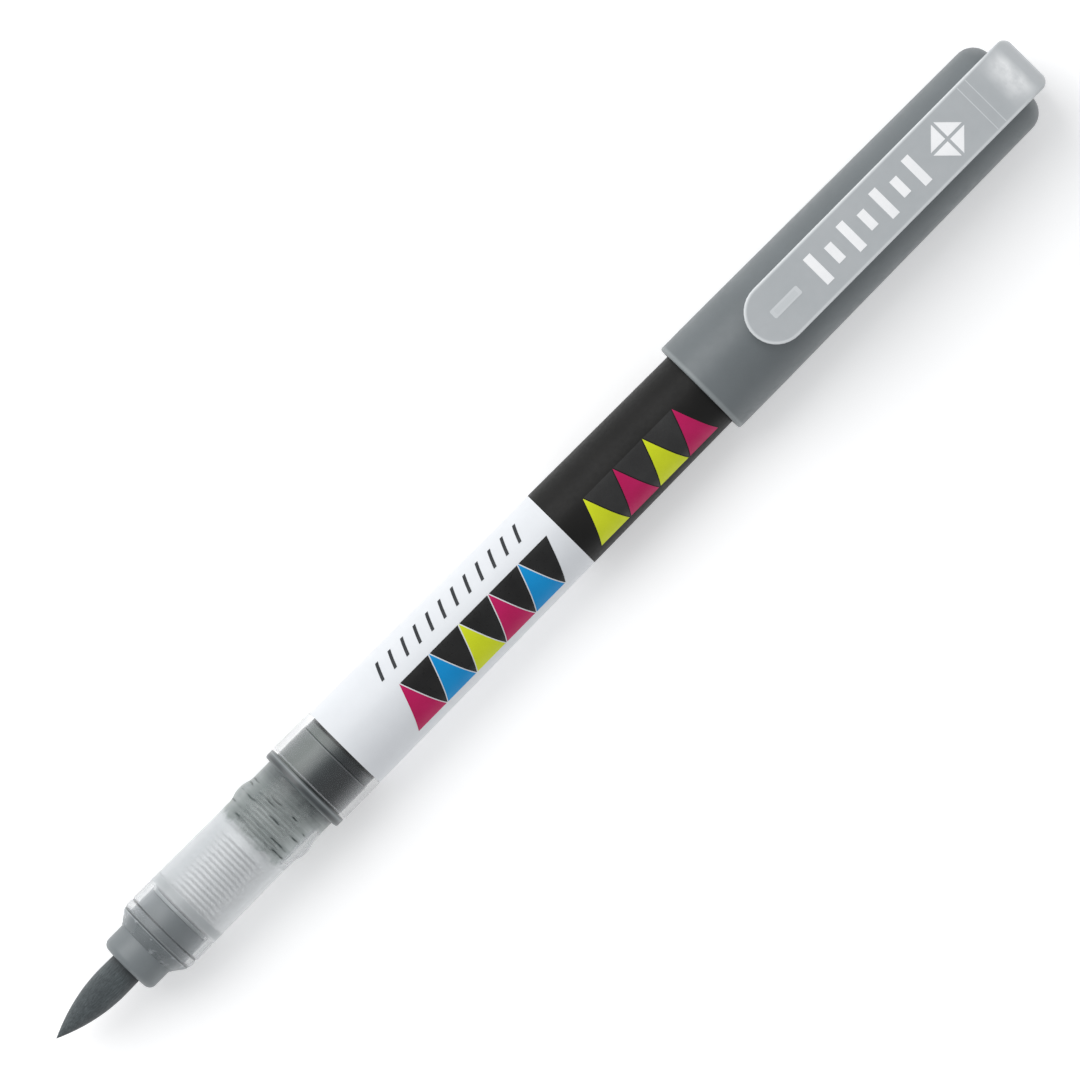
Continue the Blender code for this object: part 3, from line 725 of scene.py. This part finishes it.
def make_ink():
    """The ink as it shows in the clear band, with a channel for the ball."""
    start, end = front("ink_charge"), rear("ink_charge")
    neck_end = rear("grip_section") + 0.04
    channel, film = 2.5, 0.06
    outer = [(start, 4.4), (neck_end, 4.4), (neck_end, barrel_radius(neck_end) - BARREL_WALL - film, 0.02)]
    outer.append((end, barrel_radius(end) - BARREL_WALL - film))
    inner = [(start, channel), (end, channel)]
    show(turned("ink", outer, inner, ink_liquid("ink_look")), "pen", "ink", "ink_charge")


def make_ball():
    """The mixing ball, turned from a half circle."""
    low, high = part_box("mixing_ball")
    centre = ((low.x + high.x) / 2 - TIP_X) / MM
    radius = (high.x - low.x) / 2 / MM
    profile = []
    steps = 24
    for step in range(steps + 1):
        angle = math.pi * step / steps
        reach = radius * math.sin(angle) if 0 < step < steps else 0.0
        profile.append((centre - radius * math.cos(angle), reach, 0.0))
    show(turned("ball", profile, [], steel("ball_look"), 48), "ball", "ball_steel", "mixing_ball")


def make_label():
    """The film: white in front, black behind, split at one line."""
    skin = 0.1
    outer = [(LABEL_FRONT, label_radius(LABEL_FRONT), 0.04), (BAND_BREAK, label_radius(BAND_BREAK), 0.0)]
    outer += [(LABEL_REAR, label_radius(LABEL_REAR), 0.04)]
    inner = [(end, label_radius(end) - skin, 0.0) for end in (LABEL_FRONT, LABEL_REAR)]
    white = printed("label_white_look", (0.705, 0.725, 0.75), (0.74, 0.76, 0.785))
    black = printed("label_black_look", (0.006, 0.006, 0.0055), (0.011, 0.0105, 0.01), 0.5)
    label = turned("label_film", outer, inner, [white, black], 144)
    split = point(BAND_BREAK, 0, 0).x
    for face in label.data.polygons:
        face.material_index = int(face.center.x > split)
    show(label, "pen", "label_film", "barrel_label")


# ---------------------------------------------------------------- printed shapes


def arc_points(station, across, radius, start, end, steps):
    """Points along an arc, with angles in degrees."""
    points = []
    for step in range(steps + 1):
        angle = math.radians(start + (end - start) * step / steps)
        points.append((station + radius * math.cos(angle), across + radius * math.sin(angle)))
    return points


def block(low, high, left, right):
    """A rectangle's outline, from its stations and its places across."""
    return [(low, left), (high, left), (high, right), (low, right)]


def printed_shape(name, outlines, material, surface, height, slice_width=0.4):
    """Thin printed shapes: flat outlines cut into strips, thickened, and laid on a surface.
    Each outline is filled by a fan of triangles from its last point."""
    work = bmesh.new()
    for outline in outlines:
        part = bmesh.new()
        corners = [part.verts.new((x, y, 0.0)) for x, y in outline]
        for one, two in zip(corners, corners[1:-1]):
            part.faces.new([corners[-1], one, two])
        low = min(y for _, y in outline)
        high = max(y for _, y in outline)
        cut = math.floor(low / slice_width) + 1
        while cut * slice_width < high:
            geometry = part.verts[:] + part.edges[:] + part.faces[:]
            bmesh.ops.bisect_plane(
                part, geom=geometry, plane_co=(0, cut * slice_width, 0), plane_no=(0, 1, 0)
            )
            cut += 1
        bmesh.ops.remove_doubles(part, verts=part.verts, dist=1e-5)
        raised = bmesh.ops.extrude_face_region(part, geom=part.faces[:])
        for item in raised["geom"]:
            if isinstance(item, bmesh.types.BMVert):
                item.co.z = height
        mesh = bpy.data.meshes.new("strip")
        part.to_mesh(mesh)
        part.free()
        work.from_mesh(mesh)
        bpy.data.meshes.remove(mesh)
    for vertex in work.verts:
        vertex.co = surface(*vertex.co)
    return finish_mesh(name, work, material, 30.0)


def on_label(station, across, height):
    """A flat place on the label wrapped round the barrel."""
    base = label_radius(station)
    angle = across / base
    radius = base + 0.004 + height
    return point(station, -radius * math.sin(angle), radius * math.cos(angle))


def zigzag(start, picks):
    """Some of a row of equal triangles, the odd ones upside down."""
    half_pitch, width = 2.5, 4.7
    low_side, high_side = 5.77, -0.71
    triangles = []
    for index in picks:
        base, tip = (high_side, low_side) if index % 2 else (low_side, high_side)
        left = start + index * half_pitch
        triangles.append([(left, base), (left + width, base), (left + width / 2, tip)])
    return triangles


def make_label_print():
    """A plain pattern of the builder's own: a zigzag of triangles and a row of equal strokes."""
    lime = printed("print_lime_look", (0.58, 0.66, 0.012), (0.66, 0.73, 0.02))
    cyan = printed("print_cyan_look", (0.0, 0.235, 0.57), (0.004, 0.285, 0.64))
    magenta = printed("print_magenta_look", (0.44, 0.006, 0.085), (0.52, 0.01, 0.115))
    black = printed("print_black_look", (0.01, 0.01, 0.01), (0.02, 0.02, 0.02), 0.3)
    stroke_ink = printed("print_stroke_look", (0.02, 0.022, 0.026), (0.036, 0.039, 0.044), 0.4)
    varnish = printed("print_varnish_look", (0.026, 0.026, 0.026), (0.04, 0.04, 0.04), 0.2)
    white_start, black_start = 56.5, 87.5
    near, far, lean, width = -2.4, -5.0, 0.9, 0.45
    strokes = []
    for index in range(12):
        foot = 57.6 + index * 2.1
        head = foot + lean
        strokes.append([(foot, near), (head, far), (head + width, far), (foot + width, near)])
    prints = {
        "print_magenta": (magenta, zigzag(white_start, (0, 6))),
        "print_cyan": (cyan, zigzag(white_start, (2, 8))),
        "print_lime": (lime, zigzag(white_start, (4,))),
        "print_black": (black, zigzag(white_start, (1, 3, 5, 7, 9))),
        "print_lime_rear": (lime, zigzag(black_start, (0, 4))),
        "print_magenta_rear": (magenta, zigzag(black_start, (2, 6))),
        "print_varnish": (varnish, zigzag(black_start, (1, 3, 5))),
        "print_strokes": (stroke_ink, strokes),
    }
    relief = 0.024
    for name, (look, outlines) in prints.items():
        show(printed_shape(name, outlines, look, on_label, relief), "pen", "label_film")


# ---------------------------------------------------------------- tail plug and cap

CAP_MOUTH = front("cap_shell")
CAP_END = rear("cap_shell")
CAP_RADIUS = widest("cap_shell")
CAP_END_RADIUS = 6.27
CAP_BAND = 115.0
CAP_WALL = 0.95


def cap_radius(station):
    along = max(0.0, (station - CAP_BAND) / (CAP_END - CAP_BAND))
    return CAP_RADIUS + (CAP_END_RADIUS - CAP_RADIUS) * along


def make_tail_plug():
    """The cup-shaped plug in the barrel's tail."""
    start, end = front("tail_plug"), rear("tail_plug")
    stem = barrel_radius(BARREL_REAR) - BARREL_WALL - 0.05
    head = barrel_radius(BARREL_REAR)
    seat = BARREL_REAR + 0.15
    profile = [(seat, 0.0), (seat, stem - 0.9, 0.2), (start, stem - 0.9, 0.1), (start, stem, 0.2)]
    profile += [(seat, stem, 0.05), (seat, head, 0.08), (end, head, 0.35), (end, 0.0)]
    look = moulded("plug_look", (0.14, 0.158, 0.168), (0.18, 0.2, 0.21), 0.42)
    show(turned("plug", profile, [], look), "pen", "plug_plastic", "tail_plug")


def make_cap():
    """The cap: a rolled mouth, a slow taper, a round end and a snap bead inside."""
    corner = 2.6
    outer = [(CAP_MOUTH, CAP_RADIUS, 0.48), (CAP_BAND, CAP_RADIUS, 3.0)]
    bend = CAP_END - corner
    steps = 10
    for step in range(steps + 1):
        angle = math.radians(90 - 90 * step / steps)
        reach = cap_radius(bend) - corner + corner * math.sin(angle)
        outer.append((bend + corner * math.cos(angle), reach, 0.0))
    bore, bead = CAP_RADIUS - CAP_WALL, 5.6
    floor = CAP_END - 1.2
    turn = floor - 1.65
    inner = [(CAP_MOUTH, bore + 0.15, 0.15), (CAP_MOUTH + 0.6, bore, 0.2), (109.8, bore, 0.1)]
    inner += [(109.95, bead, 0.1), (111.0, bead, 0.1), (111.2, bore, 0.1), (CAP_BAND, bore, 1.0)]
    inner += [(turn, cap_radius(turn) - CAP_WALL, 1.0), (floor, cap_radius(turn) - CAP_WALL - 1.65, 0.6)]
    inner += [(floor, 2.0), (CAP_END, 2.0)]
    show(turned("cap", outer, inner, cap_look(), 144), "cap", "cap_plastic", "cap_shell")


def make_liner():
    """The sealing cup inside the cap."""
    mouth, end = front("cap_liner"), rear("cap_liner")
    bore, wall = 4.05, 0.8
    floor = end - 0.9
    flange, flange_radius = 157.9, widest("cap_liner")
    profile = [(floor, 0.0), (floor, bore, 0.4), (mouth, bore + 0.25, 0.3), (mouth, bore + wall, 0.2)]
    profile += [(flange, bore + wall, 0.1), (flange, flange_radius, 0.1), (end - 0.6, flange_radius, 0.1)]
    profile += [(end, flange_radius - 0.6, 0.1), (end, 0.0)]
    look = moulded("liner_look", (0.5, 0.53, 0.55), (0.6, 0.63, 0.65), 0.5)
    show(turned("liner", profile, [], look, 80), "cap_carrier", "liner_plastic", "cap_liner")


# ---------------------------------------------------------------- clip

CLIP_FRONT = front("clip_blade")
CLIP_REAR = rear("clip_crown")
CLIP_HALF = widest("clip_blade")
PRINT_ROOM = 0.035
CLIP_TOP = (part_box("clip_blade")[1].z - AXIS_Z) / MM - PRINT_ROOM
CLIP_FOOT = (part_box("clip_crown")[0].z - AXIS_Z) / MM
BLADE_THICKNESS = 1.2
PLATE_THICKNESS = 2.3
CLIP_BEND = 2.1
END_CORNER = 1.2


def clip_path(along):
    """(station, height, normal's station share, normal's height share) of the clip's outer face."""
    straight = CLIP_REAR - CLIP_BEND - CLIP_FRONT
    turn = CLIP_BEND * math.pi / 2
    if along <= straight:
        return CLIP_FRONT + along, CLIP_TOP, 0.0, 1.0
    if along <= straight + turn:
        angle = (along - straight) / CLIP_BEND
        centre_station, centre_height = CLIP_REAR - CLIP_BEND, CLIP_TOP - CLIP_BEND
        return (
            centre_station + CLIP_BEND * math.sin(angle),
            centre_height + CLIP_BEND * math.cos(angle),
            math.sin(angle),
            math.cos(angle),
        )
    return CLIP_REAR, CLIP_TOP - CLIP_BEND - (along - straight - turn), 1.0, 0.0


def clip_length():
    return (CLIP_REAR - CLIP_BEND - CLIP_FRONT) + CLIP_BEND * math.pi / 2 + (CLIP_TOP - CLIP_BEND - CLIP_FOOT)


def ease(value, low, high):
    """0 below low, 1 above high, and smooth between them."""
    share = min(1.0, max(0.0, (value - low) / (high - low)))
    return share * share * (3 - 2 * share)


def on_clip(along, across, depth):
    """A flat place on the clip's unrolled outer face, and how deep below it, in the row frame.
    Seen from above, the end's two corners are rounded."""
    station, height, lean, rise = clip_path(along)
    station -= depth * lean
    outwards = (station - (CLIP_REAR - END_CORNER)) / END_CORNER
    sideways = (abs(across) - (CLIP_HALF - END_CORNER)) / END_CORNER
    if outwards > 0 and sideways > 0:
        station += END_CORNER * outwards * (math.sqrt(1 - sideways**2 / 2) - 1)
        narrower = END_CORNER * sideways * (math.sqrt(1 - outwards**2 / 2) - 1)
        across -= math.copysign(narrower, across)
    return point(station, across, height - depth * rise)


def clip_outline(inset, stops, turns=18):
    """The unrolled clip's outline, moved inwards by inset(along): two round ends and two sides."""
    length = clip_length()
    outline = []
    for step in range(turns + 1):
        angle = math.radians(90 + 180 * step / turns)
        radius = CLIP_HALF - inset(0.0)
        outline.append((CLIP_HALF + radius * math.cos(angle), radius * math.sin(angle)))
    outline += [(along, -(CLIP_HALF - inset(along))) for along in stops]
    for step in range(turns + 1):
        angle = math.radians(-90 + 180 * step / turns)
        radius = CLIP_HALF - inset(length)
        outline.append((length - CLIP_HALF + radius * math.cos(angle), radius * math.sin(angle)))
    outline += [(along, CLIP_HALF - inset(along)) for along in reversed(stops)]
    return outline


def make_clip():
    """Blade, bend and end plate in one moulding, with rounded rims."""
    length = clip_length()
    bend_start = CLIP_REAR - CLIP_BEND - CLIP_FRONT
    bend_end = bend_start + CLIP_BEND * math.pi / 2

    def thickness(along):
        share = ease(along, bend_end - 0.4, bend_end + 1.6)
        return BLADE_THICKNESS + (PLATE_THICKNESS - BLADE_THICKNESS) * share

    def rim(along):
        return 0.2 + 0.12 * ease(along, bend_start - 0.8, bend_start + 2.6)

    stops = []
    along = CLIP_HALF
    while along < length - CLIP_HALF - 1e-6:
        along += 0.2 if bend_start - 6.5 < along < bend_end + 2.0 else 0.8
        if along < length - CLIP_HALF - 0.05:
            stops.append(along)
    layers = []
    across_shares = (1.0, 0.66, 0.45, 0.36, 0.3, 0.25, 0.2, 0.15, 0.11)
    for share in across_shares:
        layers.append((lambda a, s=share: CLIP_HALF * s, lambda a: 0.0))
    for step in range(6):
        angle = math.radians(90 * step / 5)
        layers.append(
            (lambda a, k=angle: rim(a) * (1 - math.sin(k)), lambda a, k=angle: rim(a) * (1 - math.cos(k)))
        )
    under_rim = 0.18
    for step in range(4):
        angle = math.radians(90 * step / 3)
        layers.append(
            (
                lambda a, k=angle: under_rim * (1 - math.cos(k)),
                lambda a, k=angle: thickness(a) - under_rim * (1 - math.sin(k)),
            )
        )
    for share in reversed(across_shares):
        layers.append((lambda a, s=share: CLIP_HALF * s, thickness))
    work = bmesh.new()
    rim_highlight = work.verts.layers.float.new("rim")
    rings = []
    for inset, depth in layers:
        outline = clip_outline(inset, stops)
        rings.append([work.verts.new(on_clip(u, v, depth(min(max(u, 0.0), length)))) for u, v in outline])
        for vertex, (u, _) in zip(rings[-1], outline):
            within = inset(min(max(u, 0.0), length))
            fade = 1.0 - ease(u, bend_start - 3, bend_start + 1)
            # painted highlight: the outer rim layers get a paler share, fading out before the bend
            vertex[rim_highlight] = 0.85 * ease(-within, -0.34, -0.16) * fade
    for one, two in zip(rings, rings[1:]):
        count = len(one)
        for step in range(count):
            following = (step + 1) % count
            work.faces.new([one[step], one[following], two[following], two[step]])
    bmesh.ops.dissolve_degenerate(work, edges=work.edges, dist=1e-7)
    look = clip_look()
    clip = finish_mesh("clip", work, look, 35.0)
    show(clip, None, "clip_plastic", "clip_blade", "clip_crown")
    bend_clip(clip)
    return look


def prism(name, outline, half_width, material):
    """A straight bar across the pen with the given side outline and softened edges."""
    work = bmesh.new()
    near = [work.verts.new(point(station, -half_width, height)) for station, height in outline]
    far = [work.verts.new(point(station, half_width, height)) for station, height in outline]
    work.faces.new(near)
    work.faces.new(list(reversed(far)))
    for step, vertex in enumerate(near):
        following = (step + 1) % len(near)
        work.faces.new([vertex, far[step], far[following], near[following]])
    bmesh.ops.recalc_face_normals(work, faces=work.faces)
    bmesh.ops.bevel(work, geom=work.edges[:], offset=0.12 * MM, segments=3, profile=0.5, affect="EDGES")
    return finish_mesh(name, work, material, 50.0)


def make_clip_root(look):
    """What holds the clip: a gusset inside the bend and a barbed peg through the cap's end."""
    bottom, foot = CLIP_TOP - BLADE_THICKNESS, 5.2
    face = CLIP_REAR - PLATE_THICKNESS
    outline = [(face - 1.8, bottom + 0.2), (face - 1.8, bottom), (face, foot), (face + 0.5, foot)]
    outline.append((face + 0.5, bottom + 0.2))
    show(prism("clip_gusset", outline, CLIP_HALF - 0.12, look), "cap", "clip_plastic")
    barb_start, barb_end, barb, shank = 159.5, CAP_END - 1.3, 2.4, 1.9
    profile = [(barb_start, 0.0), (barb_start, shank - 0.2, 0.15), (barb_end - 0.2, barb, 0.1)]
    profile += [(barb_end, barb, 0.1), (barb_end, shank), (face + 0.6, shank), (face + 0.6, 0.0)]
    show(turned("clip_peg", profile, [], look, 48), "cap", "clip_plastic")


def bend_clip(piece):
    """Bakes the piece's transform into its mesh; nothing is bent."""
    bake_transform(piece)


def rounded_block(low, high, half, corner):
    """The outline of a bar along the pen with rounded corners."""
    points = []
    for station, across, turn in (
        (high - corner, half - corner, 0),
        (low + corner, half - corner, 90),
        (low + corner, corner - half, 180),
        (high - corner, corner - half, 270),
    ):
        points += arc_points(station, across, corner, turn, turn + 90, 5)
    return points


def make_clip_details(look):
    """The bump under the blade, its mark on top, faint mould lines and the white print."""

    def on_blade(along, across, height):
        return on_clip(along - CLIP_FRONT, across, -0.002 - height)

    white = printed("clip_white_look", (0.86, 0.87, 0.88), (0.95, 0.955, 0.96), 0.4)
    shapes = []
    centre, reach, gap = 150.6, 2.6, 0.2
    for along in (-1, 1):
        for across in (-1, 1):
            corner = (centre + along * gap, across * gap)
            far_along = (centre + along * reach, across * gap)
            shapes.append([corner, far_along, (centre + along * gap, across * reach)])
    for index, reach in enumerate((2.1, 1.3, 2.1, 1.3, 2.1, 1.3, 2.1)):
        station = 128.3 + index * 2.75
        shapes.append(block(station, station + 1.15, -reach, reach))
    show(printed_shape("clip_print", shapes, white, on_blade, 0.028, 2.0), "clip", "clip_plastic")

    pale = moulded("clip_mark_look", (0.58, 0.605, 0.62), (0.64, 0.66, 0.675), 0.35)
    soft = moulded("clip_inset_look", (0.55, 0.575, 0.59), (0.595, 0.62, 0.635), 0.4)
    mark = rounded_block(121.12, 125.6, 0.6, 0.22)
    hollow = rounded_block(121.6, 125.1, 0.33, 0.15)
    show(printed_shape("clip_bump_mark", [mark], pale, on_blade, 0.02, 2.0), "clip", "clip_plastic")
    show(printed_shape("clip_bump_inset", [hollow], soft, on_blade, 0.028, 2.0), "clip", "clip_plastic")

    def under_blade(along, across, height):
        return on_clip(along - CLIP_FRONT, across, BLADE_THICKNESS - 0.05 + height)

    reach = CLIP_TOP - BLADE_THICKNESS + 0.05 - cap_radius(121.0) - 0.25
    show(printed_shape("clip_bump", [mark], look, under_blade, reach, 2.0), "clip", "clip_plastic")

    lines = [block(155.6, 155.72, -CLIP_HALF + 0.4, CLIP_HALF - 0.4)]
    lines += [block(156.95, 157.07, -CLIP_HALF + 0.4, CLIP_HALF - 0.4)]
    ribs = printed_shape("clip_mould_lines", lines, soft, on_blade, 0.012, 2.0)
    show(ribs, None, "clip_plastic")
    bend_clip(ribs)


# ---------------------------------------------------------------- ground, light and camera

VIEW_TURN = 45.27
FRAME_WIDTH = 128.7
LENS = 500.0
SENSOR = 36.0


def make_ground():
    mesh = bpy.data.meshes.new("ground")
    size = 3.0
    corners = [(-size, -size, 0), (size, -size, 0), (size, size, 0), (-size, size, 0)]
    mesh.from_pydata(corners, [], [(0, 1, 2, 3)])
    mesh.materials.append(paper("ground_look"))
    ground = bpy.data.objects.new("ground", mesh)
    ground.location.z = cad_low.z - 0.02 * MM
    bpy.context.scene.collection.objects.link(ground)


def soft_light(name, place, energy, size):
    """A round light of the given watts and metres across, aimed at the pen's middle."""
    data = bpy.data.lights.new(name, "AREA")
    data.energy = energy
    data.shape = "DISK"
    data.size = size
    light = bpy.data.objects.new(name, data)
    light.location = place
    light.rotation_euler = (-Vector(place)).to_track_quat("-Z", "Y").to_euler()
    bpy.context.scene.collection.objects.link(light)


def make_lights():
    world = bpy.data.worlds.new("studio")
    bpy.context.scene.world = world
    world.use_nodes = True
    background = world.node_tree.nodes["Background"]
    background.inputs["Color"].default_value = (0.97, 0.98, 1.0, 1.0)
    background.inputs["Strength"].default_value = 0.55
    soft_light("key", (-0.1, 0.6, 0.72), energy=5.5, size=0.9)
    soft_light("fill", (0.2, -0.6, 0.6), energy=0.2, size=0.8)
    soft_light("rim", (0.0, 0.8, 0.2), energy=0.4, size=0.5)


def make_camera():
    """Straight above the pen, turned so that the nib is at the lower left."""
    data = bpy.data.cameras.new("camera")
    data.lens = LENS
    data.sensor_width = SENSOR
    distance = FRAME_WIDTH * MM * LENS / SENSOR
    data.clip_start = 0.01
    data.clip_end = 10.0
    camera = bpy.data.objects.new("camera", data)
    turn = math.radians(VIEW_TURN)
    right = Vector((math.cos(turn), -math.sin(turn), 0))
    up = Vector((math.sin(turn), math.cos(turn), 0))
    middle = Vector(((cad_low.x + cad_high.x) / 2, 0, AXIS_Z))
    camera.location = middle - right * 0.08 * MM + up * 1.15 * MM + Vector((0, 0, distance))
    camera.rotation_euler = (0, 0, -turn)
    bpy.context.scene.collection.objects.link(camera)
    bpy.context.scene.camera = camera


make_nib()
make_collar()
make_grip()
make_comb()
make_barrel()
make_ink()
make_ball()
make_label()
make_label_print()
make_tail_plug()
make_cap()
make_liner()
clip_plastic = make_clip()
make_clip_root(clip_plastic)
make_clip_details(clip_plastic)
make_ground()
make_lights()
make_camera()
bpy.context.scene.view_settings.view_transform = "Standard"
